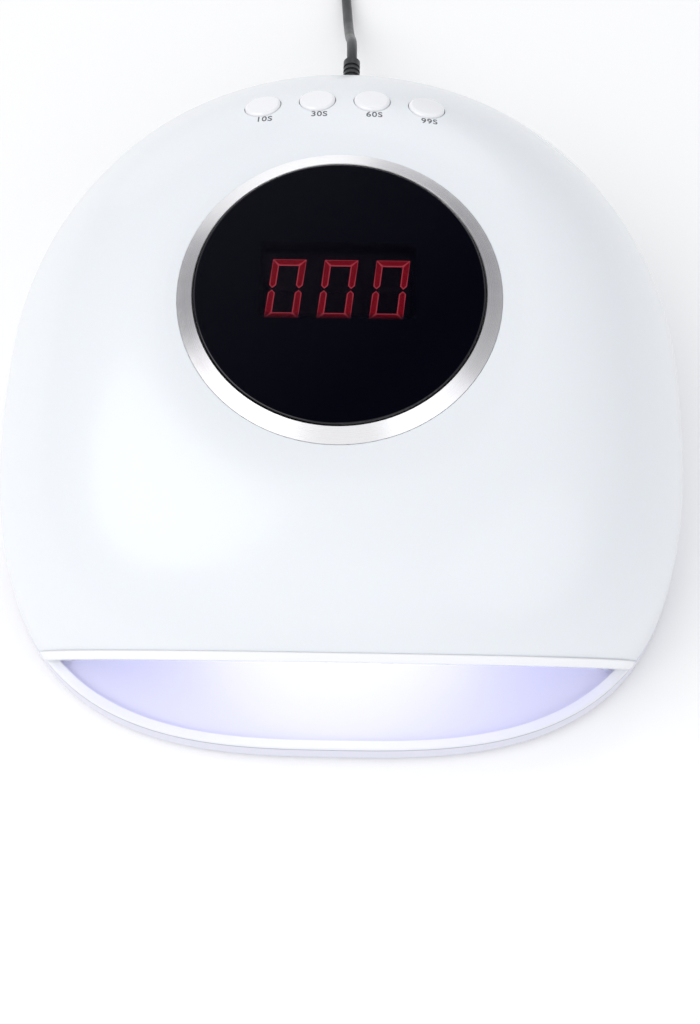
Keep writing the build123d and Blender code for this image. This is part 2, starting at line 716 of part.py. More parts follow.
def plug_grip():
    """Moulded grip that narrows into a ribbed strain relief."""
    radius, length = PLUG_GRIP
    relief_radius, relief_length = RELIEF
    taper = 3.0
    points = [(0, 0), (radius - 0.4, 0), (radius, 0.4), (radius, length - taper)]
    points += [(relief_radius + 0.3, length), (relief_radius, length + 0.5)]
    rib = 1.0
    ribs = int(relief_length / (2 * rib))
    for i in range(ribs - 1):
        start = length + rib * (2 * i + 1)
        points += [(relief_radius, start), (relief_radius - 0.5, start), (relief_radius - 0.5, start + rib)]
        points += [(relief_radius, start + rib)]
    points += [(relief_radius, length + relief_length), (0, length + relief_length)]
    return jack_plane(JACK_FACE_Y + PLUG_GAP) * turned(points)


def cord_path():
    """From the strain relief the lead sags to the table and runs straight back."""
    start_y = JACK_FACE_Y + PLUG_GAP + PLUG_GRIP[1] + RELIEF[1]
    rest_z = CORD_RADIUS + 0.3
    points = [(0, start_y, JACK_Z), (-1, start_y + 22, 14.0), (-3, start_y + 50, rest_z + 1.0)]
    points += [(-4.5, start_y + 72, rest_z), (-6, CORD_END_Y, rest_z)]
    ends = [Vector(0, 1, 0), Vector(-0.05, 1, 0)]
    return Edge.make_spline([Vector(*p) for p in points], tangents=ends)


def power_cord():
    path = cord_path()
    profile = Plane(origin=path @ 0, z_dir=path % 0) * Circle(CORD_RADIUS)
    return sweep(profile, path=Wire([path]))


def cord_cores():
    """The two insulated cores, bared where the lead is cut off."""
    path = cord_path()
    end = Plane(origin=path @ 1, x_dir=(0, 0, 1), z_dir=path % 1)
    return group([disc(shifted(end, 0, side * 0.75), 0.6, 0.0, 6.0) for side in (-1, 1)])


# ---- Fasteners and magnets ----
def screw(plane, shank_radius, length, head_radius, head_height):
    """Pan-head screw that stands on its head's underside, with a cross recess."""
    head = Cylinder(head_radius, head_height, align=Z_DOWN)
    slot = Box(head_radius * 1.1, 0.6, 0.8, align=Z_UP) + Box(0.6, head_radius * 1.1, 0.8, align=Z_UP)
    head -= Pos(0, 0, -head_height) * slot
    return plane * (head + Cylinder(shank_radius, length, align=Z_UP))


def housing_screws():
    seats = [Plane(on_outline(angle, BOSS_INSET, PARTING_Z + LINER_SCREW_SEAT)) for angle in SCREW_ANGLES]
    return group([screw(seat, LINER_SCREW_RADIUS, LINER_SCREW_LENGTH, *LINER_SCREW_HEAD) for seat in seats])


def board_screws():
    planes = control_screw_planes() + button_screw_planes()
    size = (BOARD_SCREW_RADIUS, BOARD_SCREW_LENGTH, *BOARD_SCREW_HEAD)
    return group([screw(plane, *size) for plane in planes])


def magnets(low):
    feet = [Plane(on_outline(angle, MAGNET_INSET, low)) for angle in MAGNET_ANGLES]
    return group([disc(foot, MAGNET_RADIUS, 0.0, MAGNET_THICKNESS) for foot in feet])


# ---- Base ----
def base_tray():
    """Flat base: a rim that the housing stands on, a sunk floor, and ribs underneath."""
    tray = SHELL.slab(BASE_BOTTOM_Z, PARTING_Z)
    tray = fillet(tray.edges().group_by(Axis.Z)[0], 1.2)
    tray = fillet(tray.edges().group_by(Axis.Z)[-1], 0.5)
    tray -= SHELL.inset(BASE_RIM).slab(BASE_FLOOR_Z, PARTING_Z)
    hollow = SHELL.inset(SKIRT_WIDTH).slab(BASE_BOTTOM_Z, BASE_PLATE_Z)
    rib_low = BASE_BOTTOM_Z + 0.4
    for i in range(-2, 3):
        rib = Box(1.6, 4 * REAR_DEPTH, BASE_PLATE_Z - rib_low, align=Z_UP)
        hollow -= Pos(32.0 * i, 0, rib_low) * rib
        hollow -= Pos(0, 34.0 * i, rib_low) * Rot(0, 0, 90) * rib
    tray -= hollow
    groove = SHELL.inset(2.5).slab(BASE_BOTTOM_Z, FOOT_HEIGHT)
    groove -= SHELL.inset(6.5).slab(BASE_BOTTOM_Z, FOOT_HEIGHT)
    tray -= groove
    feet = [Plane(on_outline(angle, MAGNET_INSET)) for angle in MAGNET_ANGLES]
    top = PARTING_Z - FIT_GAP
    tray += [disc(foot, MAGNET_RADIUS + 0.65, BASE_FLOOR_Z - 1, top) for foot in feet]
    return tray - [disc(foot, MAGNET_RADIUS + SCREW_GAP, TRAY_MAGNET_Z, top) for foot in feet]


def foot_ring():
    """Soft ring under the base's edge, which the lamp stands on."""
    return SHELL.inset(2.5).slab(0.0, FOOT_HEIGHT) - SHELL.inset(6.5).slab(0.0, FOOT_HEIGHT)


def build_nodes():
    nodes = {
        "base_tray": base_tray(),
        "tray_magnets": magnets(TRAY_MAGNET_Z),
        "foot_ring": foot_ring(),
        "upper_shell": upper_shell(),
        "mouth_trim": mouth_trim(),
        "reflector_liner": reflector_liner(),
        "bezel_ring": bezel_ring(),
        "display_window": display_window(),
        "window_adhesive": window_adhesive(),
        "display_module": display_module(),
        "lit_segments": digit_segments(True),
        "dark_segments": digit_segments(False),
        "control_board": control_board(),
        "controller_chip": controller_chip(),
        "driver_transistors": driver_transistors(),
        "capacitors": capacitors(),
        "board_connectors": board_connectors(),
        "button_board": button_board(),
        "switch_bodies": switch_bodies(),
        "ceiling_led_board": ceiling_led_board(),
        "ceiling_leds": ceiling_leds(),
        "left_led_board": side_led_board(-1),
        "left_leds": side_leds(-1),
        "right_led_board": side_led_board(1),
        "right_leds": side_leds(1),
        "sensor_board": sensor_board(),
        "hand_sensors": hand_sensors(),
        "button_ribbon": ribbon(),
        "power_wires": power_wires(),
        "led_wires": led_wires(),
        "dc_jack": dc_jack(),
        "jack_centre_pin": jack_centre_pin(),
        "jack_nut": jack_nut(),
        "housing_screws": housing_screws(),
        "board_screws": board_screws(),
        "housing_magnets": magnets(HOUSING_MAGNET_Z),
        "plug_grip": plug_grip(),
        "plug_barrel": plug_barrel(),
        "plug_insulator": plug_insulator(),
        "power_cord": power_cord(),
        "cord_cores": cord_cores(),
    }
    for name, place in zip(BUTTON_NAMES, BUTTON_PLACES):
        nodes["button_cap_" + name] = button_cap(place)
        nodes["switch_plunger_" + name] = switch_plunger(place)
    return nodes


os.makedirs("parts", exist_ok=True)
for node_name, node_shape in build_nodes().items():
    export_step(node_shape, "parts/" + node_name + ".step")
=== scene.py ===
import json
import math

import bmesh
import bpy
from mathutils import Matrix, Vector

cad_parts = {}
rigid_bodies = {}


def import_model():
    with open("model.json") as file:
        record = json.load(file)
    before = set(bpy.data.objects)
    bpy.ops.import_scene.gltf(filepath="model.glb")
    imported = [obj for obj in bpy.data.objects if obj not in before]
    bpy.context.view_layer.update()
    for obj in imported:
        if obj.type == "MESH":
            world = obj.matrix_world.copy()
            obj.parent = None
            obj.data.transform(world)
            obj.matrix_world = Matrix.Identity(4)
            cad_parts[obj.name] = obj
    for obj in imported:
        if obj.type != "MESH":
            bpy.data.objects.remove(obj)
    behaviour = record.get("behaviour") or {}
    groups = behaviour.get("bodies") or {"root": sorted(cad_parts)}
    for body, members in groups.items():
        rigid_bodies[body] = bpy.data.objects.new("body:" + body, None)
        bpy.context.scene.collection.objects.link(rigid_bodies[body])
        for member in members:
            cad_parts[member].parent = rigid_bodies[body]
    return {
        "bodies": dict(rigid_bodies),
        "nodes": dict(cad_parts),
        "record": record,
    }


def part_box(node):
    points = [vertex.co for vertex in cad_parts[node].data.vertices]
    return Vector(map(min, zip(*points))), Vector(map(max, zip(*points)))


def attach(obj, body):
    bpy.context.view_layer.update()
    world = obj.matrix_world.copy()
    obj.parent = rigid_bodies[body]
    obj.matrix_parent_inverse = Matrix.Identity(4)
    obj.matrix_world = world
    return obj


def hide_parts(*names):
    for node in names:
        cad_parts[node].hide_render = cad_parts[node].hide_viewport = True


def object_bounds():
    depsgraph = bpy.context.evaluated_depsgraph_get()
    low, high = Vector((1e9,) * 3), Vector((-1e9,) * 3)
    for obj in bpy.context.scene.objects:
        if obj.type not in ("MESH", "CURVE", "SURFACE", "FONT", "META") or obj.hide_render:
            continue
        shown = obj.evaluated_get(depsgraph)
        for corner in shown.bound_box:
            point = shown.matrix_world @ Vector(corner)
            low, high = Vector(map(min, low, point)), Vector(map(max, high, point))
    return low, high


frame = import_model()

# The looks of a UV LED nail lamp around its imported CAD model. All lengths are in metres.
CAD_LOW, CAD_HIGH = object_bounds()
MM = 0.001

# ---- View ----
CAMERA_ELEVATION = math.radians(60.15)
CAMERA_AZIMUTH = math.radians(1.85)
CAMERA_DISTANCE = 0.5
CAMERA_AIM = Vector((0.0031, -0.0423, 0.030))
CAMERA_ROLL = math.radians(-0.75)
CAMERA_LENS = 62.4

# ---- Labels ----
LABEL_SIZE = 2.95 * MM
LABEL_BOLD = 0.045 * MM
LABEL_ASIDE = 0.7 * MM       # printed a little to the right of the button
LABEL_AHEAD = 5.8 * MM       # from a button's middle to its label's
LABEL_SPACING = 1.1
LABEL_LIFT = 0.03 * MM       # printed ink stands this far over the plastic
LABEL_TEXTS = {"10s": "10S", "30s": "30S", "60s": "60S", "99s": "99S"}
CAP_MIDDLE = 5.2 * MM        # about how far a button's middle is ahead of its cap's rear edge
RAY_REACH = 50 * MM          # how far before a point its ray starts

# ---- Details of the looks ----
VIOLET = (0.16, 0.11, 1.0)
BEAD_MIDDLE = (0.62, 0.50, 1.0)
BEAD_GLOW = 1.1
CHAMBER_LIGHT = (0.74, 0.75, 1.0)
CHAMBER_LIGHT_WATTS = 0.05
CHAMBER_LIGHT_AHEAD = 25 * MM  # of the ceiling beads' middle, towards the mouth
CHAMBER_LIGHT_DROP = 2 * MM    # under the beads
CHAMBER_LIGHT_SPREAD = 1.1     # times the beads' span
SEGMENT_BORDER = 0.5 * MM
SEGMENT_GLOW = 1.5
LIP_ROUND = 0.9 * MM         # rounding of the trim's edges, in its look only
SEAM_Z = 7.25 * MM           # of the fine seam around the base; the painted shade on the base's side wall ends here too
RING_PAINTED_HIGHLIGHT_AIM = math.radians(110)  # the way the ring's fan of painted highlights points, from +X
RING_PAINTED_HIGHLIGHT_POWER = 1.35        # higher for a narrower fan of painted highlights

# ---- Studio ----
WORLD_COLOUR = (0.97, 0.98, 1.0, 1.0)
WORLD_STRENGTH = 0.66
LAMP_MIDDLE = (0, 0, 0.04)
STUDIO_LIGHTS = {             # place, size, watts, colour
    "key": ((-0.75, -0.35, 1.1), 1.3, 7.0, (1.0, 0.99, 0.98)),
    "fill": ((0.9, -0.8, 0.8), 1.2, 2.6, (0.97, 0.98, 1.0)),
    "front": ((-0.1, -1.3, 0.9), 1.2, 1.1, (1, 1, 1)),
    "back": ((0.2, 1.1, 0.9), 0.8, 1.2, (1, 1, 1)),
}
GLINT_PLACE = (-0.5, 1.5, 0.3)  # low and behind; seen in shiny reflections only, meant for the ring and the glass
GLINT_TARGET = (0, 0, 0.09)
GLINT_SIZE, GLINT_WATTS = 1.4, 2.2
FLAG_PLACE = (0.0, 0.29, 0.0)
FLAG_HALF, FLAG_HEIGHT = 0.32, 1.3
FLOOR_HALF = 6.0
FLOOR_GAP = 0.05 * MM        # under the lamp's feet

NODES = frame["nodes"]
SLOTS = {part["node"]: part["material_slot"] for part in frame["record"]["subparts"]}


# ---- Building materials from nodes ----
class Paint:
    """A new material with a Principled surface, and short calls that add and join nodes."""

    def __init__(self, name, **settings):
        self.material = bpy.data.materials.new(name)
        self.material.use_nodes = True
        self.tree = self.material.node_tree
        self.surface = self.tree.nodes["Principled BSDF"]
        self.output = self.tree.nodes["Material Output"]
        self.place = self.add("TexCoord").outputs["Object"]
        for socket, value in settings.items():
            self.feed(self.surface.inputs[socket.replace("_", " ")], value)

    def feed(self, socket, value):
        """A socket takes another node's output, or a plain value."""
        if isinstance(value, bpy.types.NodeSocket):
            self.tree.links.new(value, socket)
        else:
            socket.default_value = value

    def add(self, kind, inputs=None, **attributes):
        node = self.tree.nodes.new("ShaderNode" + kind)
        for name, value in attributes.items():
            setattr(node, name, value)
        for key, value in (inputs or {}).items():
            self.feed(node.inputs[key], value)
        return node

    def set(self, **settings):
        for socket, value in settings.items():
            self.feed(self.surface.inputs[socket.replace("_", " ")], value)

    def scaled(self, size):
        """Object coordinates stretched by a size per axis."""
        return self.add("Mapping", {"Vector": self.place, "Scale": size}).outputs[0]

    def noise(self, scale, detail=3.0, place=None):
        inputs = {"Vector": place or self.place, "Scale": scale, "Detail": detail}
        return self.add("TexNoise", inputs).outputs["Fac"]

    def ramp(self, value, low, high, start=0.0, end=1.0):
        """Maps value from start..end to low..high, clamped."""
        inputs = {"Value": value, "From Min": start, "From Max": end, "To Min": low, "To Max": high}
        return self.add("MapRange", inputs).outputs[0]

    def mix(self, factor, a, b):
        """A colour between a and b."""
        node = self.add("Mix", data_type="RGBA")
        self.feed(node.inputs[0], factor)
        self.feed(node.inputs[6], a)
        self.feed(node.inputs[7], b)
        return node.outputs[2]

    def maths(self, operation, a, b=0.0):
        return self.add("Math", {0: a, 1: b}, operation=operation).outputs[0]

    def bump(self, height, distance, strength=1.0, normal=None):
        inputs = {"Height": height, "Distance": distance, "Strength": strength}
        if normal is not None:
            inputs["Normal"] = normal
        return self.add("Bump", inputs).outputs[0]


def rgb(r, g, b):
    return (r, g, b, 1.0)


def paler_sharp_edges(paint, colour, pale, amount):
    """Lightens a colour along sharp convex edges."""
    edge = paint.ramp(paint.add("NewGeometry").outputs["Pointiness"], 0.0, amount, 0.52, 0.62)
    return paint.mix(edge, colour, pale)


def moulded_plastic(name, light, dark, roughness, grain=0.35, coat=0.0, spread=0.06, rounding=0.0):
    """Injection-moulded plastic: faint cloudy tone, uneven gloss and a fine orange-peel skin."""
    paint = Paint(name, IOR=1.5, Coat_Weight=coat, Coat_Roughness=0.14)
    cloud = paint.noise(9.0, 0.0)
    speck = paint.ramp(paint.noise(2600.0, 2.0), 0.0, 0.15, 0.45, 0.7)
    tone = paint.mix(cloud, rgb(*light), rgb(*dark))
    tone = paint.mix(speck, tone, rgb(*dark))
    paint.set(Base_Color=paler_sharp_edges(paint, tone, rgb(*light), 0.5))
    paint.set(Roughness=paint.ramp(paint.noise(25.0, 0.0), roughness - spread / 2, roughness + spread))
    edges = paint.add("Bevel", {"Radius": rounding}, samples=4).outputs[0]
    peel = paint.bump(paint.noise(420.0, 2.0), 0.012 * MM * grain, 1.0, edges)
    paint.set(Normal=paint.bump(paint.noise(3200.0, 2.0), 0.006 * MM * grain, 1.0, peel))
    return paint


def white_shell():
    light, dark = (0.855, 0.885, 0.915), (0.83, 0.855, 0.895)
    paint = moulded_plastic("white_shell", light, dark, 0.28, 0.05, 0.3, 0.03)
    paint.set(Subsurface_Weight=0.05, Subsurface_Scale=2 * MM)
    return paint.material


def white_trim():
    light, dark = (0.94, 0.95, 0.98), (0.92, 0.93, 0.96)
    return moulded_plastic("white_trim", light, dark, 0.18, 0.04, 0.4, rounding=LIP_ROUND).material


def liner_white():
    return moulded_plastic("liner_white", (0.86, 0.86, 0.92), (0.82, 0.82, 0.9), 0.35, 0.8).material


def tray_white():
    """The base's plastic, with a fine seam that runs around it under the rim, and painted shade in
    lavender-grey on its side wall below the seam.
    """
    paint = moulded_plastic("tray_white", (0.88, 0.885, 0.92), (0.85, 0.855, 0.905), 0.3, 0.1, 0.2)
    height = paint.add("SeparateXYZ", {0: paint.place}).outputs[2]
    away = paint.maths("ABSOLUTE", paint.maths("SUBTRACT", height, SEAM_Z))
    seam = paint.ramp(away, 1.0, 0.0, 0.12 * MM, 0.28 * MM)
    plain = paint.surface.inputs["Base Color"].links[0].from_socket
    relief = paint.surface.inputs["Normal"].links[0].from_socket
    # Painted shade: the outer side wall below the seam is painted a darker lavender-grey, kept off the
    # bottom face.
    painted_wall_shade = paint.ramp(height, 1.0, 0.0, SEAM_Z - 0.4 * MM, SEAM_Z)
    outside = paint.ramp(height, 0.0, 1.0, 0.0, 0.2 * MM)
    plain = paint.mix(paint.maths("MULTIPLY", painted_wall_shade, outside), plain, rgb(0.76, 0.76, 0.86))
    paint.set(Base_Color=paint.mix(seam, plain, rgb(0.42, 0.42, 0.47)))
    paint.set(Normal=paint.bump(paint.maths("SUBTRACT", 1.0, seam), 0.2 * MM, 1.0, relief))
    return paint.material


def button_white():
    light, dark = (0.93, 0.93, 0.95), (0.90, 0.90, 0.93)
    return moulded_plastic("button_white", light, dark, 0.2, 0.08, 0.4).material


def bezel_metal():
    """Satin ring: fine lines turned around its own axis, and a soft fan of painted highlights in its base
    colour, with painted shade at its sides.
    """
    paint = Paint("bezel_metal", Metallic=1.0, Anisotropic=0.5, Anisotropic_Rotation=0.25)
    low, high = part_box("bezel_ring")
    middle = (low + high) / 2
    tilt = math.atan2(high.z - low.z, high.y - low.y)
    turn = Matrix.Rotation(-tilt, 4, "X")
    centre = turn @ middle
    node = paint.add("Mapping", {"Vector": paint.place}, vector_type="POINT")
    node.inputs["Rotation"].default_value = (-tilt, 0, 0)
    node.inputs["Location"].default_value = -centre
    split = paint.add("SeparateXYZ", {0: node.outputs[0]})
    x, y = split.outputs[0], split.outputs[1]
    square = paint.maths("ADD", paint.maths("MULTIPLY", x, x), paint.maths("MULTIPLY", y, y))
    radius = paint.maths("SQRT", square)
    along_x = paint.maths("MULTIPLY", x, math.cos(RING_PAINTED_HIGHLIGHT_AIM))
    along_y = paint.maths("MULTIPLY", y, math.sin(RING_PAINTED_HIGHLIGHT_AIM))
    along = paint.maths("ADD", along_x, along_y)
    share = paint.maths("DIVIDE", paint.maths("MULTIPLY", along, along), square)
    painted_highlight_fan = paint.maths("POWER", share, RING_PAINTED_HIGHLIGHT_POWER)
    inputs = {"W": radius, "Scale": 9000.0, "Detail": 2.0}
    lines = paint.add("TexNoise", inputs, noise_dimensions="1D").outputs[0]
    # Painted highlight and shade: the base colour runs from painted shade at the ring's sides to
    # near-white along the fan.
    tone = paint.mix(painted_highlight_fan, rgb(0.38, 0.37, 0.39), rgb(1.0, 0.99, 1.0))
    tone = paint.mix(paint.ramp(lines, 0.0, 0.15, 0.3, 0.7), tone, rgb(0.55, 0.55, 0.56))
    paint.set(Base_Color=paler_sharp_edges(paint, tone, rgb(0.95, 0.95, 0.96), 0.6))
    paint.set(Roughness=paint.ramp(lines, 0.24, 0.36, 0.3, 0.7))
    paint.set(Tangent=paint.add("Tangent", direction_type="RADIAL", axis="Z").outputs[0])
    paint.set(Normal=paint.bump(lines, 0.004 * MM, 0.6))
    return paint.material


def smoked_window():
    """Near-black gloss panel with a clear smoked field over the digits; the field also gives off a faint
    painted glow that stands in for light scattered inside it.
    """
    paint = Paint("smoked_window", Roughness=0.05, IOR=1.49)
    paint.set(Base_Color=rgb(0.002, 0.002, 0.005))
    paint.set(Normal=paint.bump(paint.noise(90.0, 1.0), 0.004 * MM))
    paint.set(Roughness=paint.ramp(paint.noise(300.0, 3.0), 0.03, 0.09, 0.35, 0.65))
    low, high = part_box("display_module")
    middle, half = (low + high) / 2, (high - low) / 2
    split = paint.add("SeparateXYZ", {0: paint.place})
    gap_x = paint.maths("ABSOLUTE", paint.maths("SUBTRACT", split.outputs[0], middle.x))
    gap_y = paint.maths("ABSOLUTE", paint.maths("SUBTRACT", split.outputs[1], middle.y))
    inside_x = paint.ramp(gap_x, 1.0, 0.0, half.x - 3 * MM, half.x - MM)
    inside_y = paint.ramp(gap_y, 1.0, 0.0, half.y - 3 * MM, half.y - MM)
    clear = paint.maths("MULTIPLY", inside_x, inside_y)
    tint = paint.add("BsdfTransparent", {"Color": rgb(0.62, 0.55, 0.58)})
    sheen, relief = [paint.surface.inputs[name].links[0].from_socket for name in ("Roughness", "Normal")]
    gloss = paint.add("BsdfGlossy", {"Roughness": sheen, "Color": rgb(1.0, 1.0, 1.0), "Normal": relief})
    edge = paint.add("Fresnel", {"IOR": 1.49, "Normal": relief}).outputs[0]
    glass = paint.add("MixShader", {0: edge, 1: tint.outputs[0], 2: gloss.outputs[0]})
    # A faint painted glow in the clear field, standing in for light scattered in the smoked acrylic.
    painted_glow = paint.add("Emission", {"Color": rgb(0.0004, 0.0004, 0.0016), "Strength": 1.0})
    smoked_glass_and_glow = paint.add("AddShader", {0: glass.outputs[0], 1: painted_glow.outputs[0]})
    whole = paint.add("MixShader", {0: clear, 1: paint.surface.outputs[0], 2: smoked_glass_and_glow.outputs[0]})
    paint.feed(paint.output.inputs["Surface"], whole.outputs[0])
    return paint.material


def segment_red():
    """Lit bars: a deep red core with dim dots, and a paler border."""
    paint = Paint("segment_red", Roughness=0.5)
    border = paint.add("Attribute", attribute_name="border").outputs["Fac"]
    dots = paint.add("TexVoronoi", {"Vector": paint.place, "Scale": 2600.0}).outputs["Distance"]
    dimmed = paint.ramp(dots, 0.0, 1.0, 0.25, 0.7)
    core = paint.mix(dimmed, rgb(0.30, 0.003, 0.010), rgb(0.15, 0.002, 0.006))
    glow = paint.mix(paint.ramp(border, 0.0, 1.0, 0.25, 0.5), core, rgb(0.52, 0.075, 0.10))
    paint.set(Base_Color=rgb(0.2, 0.01, 0.02), Emission_Color=glow, Emission_Strength=SEGMENT_GLOW)
    return paint.material


def segment_dark():
    paint = moulded_plastic("segment_dark", (0.012, 0.006, 0.008), (0.008, 0.004, 0.006), 0.5)
    return paint.material


def dark_plastic(name, value, roughness, grain=0.6):
    light = (value * 1.25, value * 1.27, value * 1.32)
    return moulded_plastic(name, light, (value, value, value * 1.05), roughness, grain).material


def soft_rubber(name, light, dark, roughness):
    """Rubber or PVC: matt, with a pebbled skin and a little dust."""
    paint = Paint(name, Sheen_Weight=0.15, Sheen_Roughness=0.5)
    dust = paint.ramp(paint.noise(700.0, 4.0), 0.0, 0.4, 0.55, 0.75)
    tone = paint.mix(paint.noise(120.0, 3.0), rgb(*light), rgb(*dark))
    paint.set(Base_Color=paint.mix(dust, tone, rgb(*[c * 1.7 + 0.01 for c in light])))
    paint.set(Roughness=paint.ramp(paint.noise(200.0), roughness - 0.08, roughness + 0.08, 0.3, 0.7))
    paint.set(Normal=paint.bump(paint.noise(1800.0, 3.0), 0.03 * MM))
    return paint.material


def plated_metal(name, light, dark, roughness):
    """Plated steel or nickel: blotchy gloss and fine scratches along one way."""
    paint = Paint(name, Metallic=1.0)
    scratch = paint.noise(500.0, 4.0, paint.scaled((1.0, 9.0, 1.0)))
    blotch = paint.noise(260.0, 3.0)
    tone = paint.mix(paint.ramp(blotch, 0.0, 1.0, 0.35, 0.65), rgb(*light), rgb(*dark))
    paint.set(Base_Color=paler_sharp_edges(paint, tone, rgb(0.95, 0.94, 0.92), 0.5))
    paint.set(Roughness=paint.ramp(scratch, roughness - 0.06, roughness + 0.1, 0.3, 0.7))
    paint.set(Normal=paint.bump(scratch, 0.006 * MM))
    return paint.material


def circuit_board(name, mask, track, pad):
    """Solder-masked board: tracks in relief under the mask, and small bare pads."""
    paint = Paint(name, Coat_Weight=0.4, Coat_Roughness=0.15)
    inputs = {"Vector": paint.place, "Scale": 160.0, "Mortar Size": 0.04, "Mortar Smooth": 0.3}
    bricks = paint.add("TexBrick", inputs)
    dots = paint.add("TexVoronoi", {"Vector": paint.place, "Scale": 330.0}).outputs["Distance"]
    bare = paint.ramp(dots, 1.0, 0.0, 0.16, 0.2)
    tone = paint.mix(bricks.outputs["Fac"], rgb(*mask), rgb(*track))
    paint.set(Base_Color=paint.mix(bare, tone, rgb(*pad)), Metallic=paint.maths("MULTIPLY", bare, 0.9))
    paint.set(Roughness=paint.ramp(paint.noise(400.0), 0.25, 0.45))
    relief = paint.maths("MAXIMUM", bricks.outputs["Fac"], bare)
    paint.set(Normal=paint.bump(relief, 0.035 * MM))
    return paint.material


def led_lens():
    """Clear epoxy dome lit from inside: nearly white at its middle, violet towards its edge."""
    paint = Paint("led_lens", Roughness=0.08, Coat_Weight=0.6)
    facing = paint.add("LayerWeight", {"Blend": 0.35}).outputs["Facing"]
    die = paint.ramp(paint.noise(900.0, 2.0), 0.9, 1.1, 0.3, 0.7)
    glow = paint.mix(facing, rgb(*BEAD_MIDDLE), rgb(*VIOLET))
    paint.set(Base_Color=rgb(0.5, 0.42, 0.9), Emission_Color=glow)
    paint.set(Emission_Strength=paint.maths("MULTIPLY", die, BEAD_GLOW))
    return paint.material


def sensor_dark():
    paint = moulded_plastic("sensor_dark", (0.03, 0.008, 0.03), (0.015, 0.004, 0.016), 0.12, 0.1, 0.6)
    return paint.material


def ribbon_grey():
    """Flat cable: parallel cores show as shallow ridges."""
    paint = Paint("ribbon_grey")
    inputs = {"Vector": paint.place, "Scale": 250.0, "Distortion": 0.0}
    ridge = paint.add("TexWave", inputs, bands_direction="X").outputs["Fac"]
    paint.set(Base_Color=paint.mix(ridge, rgb(0.28, 0.28, 0.3), rgb(0.55, 0.55, 0.58)))
    paint.set(Roughness=paint.ramp(paint.noise(300.0), 0.4, 0.55))
    paint.set(Normal=paint.bump(ridge, 0.2 * MM))
    return paint.material


def copper():
    """Bare strands twisted along the core."""
    paint = Paint("copper", Metallic=1.0)
    inputs = {"Vector": paint.place, "Scale": 900.0, "Distortion": 1.5}
    strands = paint.add("TexWave", inputs, bands_direction="DIAGONAL").outputs["Fac"]
    paint.set(Base_Color=paint.mix(strands, rgb(0.45, 0.19, 0.09), rgb(0.86, 0.50, 0.30)))
    paint.set(Roughness=paint.ramp(strands, 0.28, 0.45))
    paint.set(Normal=paint.bump(strands, 0.12 * MM))
    return paint.material


def label_ink():
    """Grey pad-printed ink, a little uneven."""
    paint = Paint("label_ink")
    wear = paint.ramp(paint.noise(1500.0, 4.0), 0.0, 1.0, 0.4, 0.75)
    paint.set(Base_Color=paint.mix(wear, rgb(0.09, 0.09, 0.11), rgb(0.20, 0.20, 0.23)))
    paint.set(Roughness=paint.ramp(wear, 0.45, 0.6), Normal=paint.bump(wear, 0.01 * MM))
    return paint.material


def make_materials():
    """One material per slot of the record."""
    return {
        "white_shell": white_shell(), "white_trim": white_trim(), "liner_white": liner_white(),
        "tray_white": tray_white(), "button_white": button_white(), "bezel_metal": bezel_metal(),
        "smoked_window": smoked_window(), "segment_red": segment_red(), "segment_dark": segment_dark(),
        "foam_black": soft_rubber("foam_black", (0.02, 0.02, 0.02), (0.01, 0.01, 0.01), 0.85),
        "module_black": dark_plastic("module_black", 0.003, 0.7),
        "board_green": circuit_board(
            "board_green", (0.01, 0.09, 0.04), (0.02, 0.16, 0.07), (0.7, 0.6, 0.4)),
        "board_white": circuit_board(
            "board_white", (0.80, 0.80, 0.82), (0.72, 0.72, 0.75), (0.75, 0.72, 0.6)),
        "chip_black": dark_plastic("chip_black", 0.02, 0.55),
        "capacitor_can": plated_metal("capacitor_can", (0.16, 0.17, 0.24), (0.10, 0.11, 0.16), 0.35),
        "connector_white": moulded_plastic(
            "connector_white", (0.8, 0.78, 0.7), (0.7, 0.68, 0.6), 0.5).material,
        "switch_black": dark_plastic("switch_black", 0.025, 0.45),
        "led_lens": led_lens(), "sensor_dark": sensor_dark(), "ribbon_grey": ribbon_grey(),
        "wire_red": soft_rubber("wire_red", (0.42, 0.02, 0.02), (0.30, 0.012, 0.012), 0.45),
        "wire_black": soft_rubber("wire_black", (0.03, 0.03, 0.03), (0.018, 0.018, 0.018), 0.45),
        "jack_black": dark_plastic("jack_black", 0.022, 0.4),
        "contact_metal": plated_metal("contact_metal", (0.78, 0.76, 0.70), (0.62, 0.60, 0.55), 0.25),
        "screw_steel": plated_metal("screw_steel", (0.62, 0.63, 0.66), (0.42, 0.43, 0.47), 0.32),
        "magnet_nickel": plated_metal("magnet_nickel", (0.80, 0.80, 0.80), (0.66, 0.66, 0.67), 0.18),
        "cord_black": soft_rubber("cord_black", (0.014, 0.017, 0.019), (0.009, 0.011, 0.012), 0.45),
        "copper": copper(),
        "foot_rubber": soft_rubber("foot_rubber", (0.30, 0.30, 0.31), (0.22, 0.22, 0.23), 0.75),
    }


# ---- Pieces made here ----
def new_piece(name, mesh, body, material):
    piece = bpy.data.objects.new(name, mesh)
    bpy.context.scene.collection.objects.link(piece)
    mesh.materials.clear()
    mesh.materials.append(material)
    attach(piece, body)
    return piece


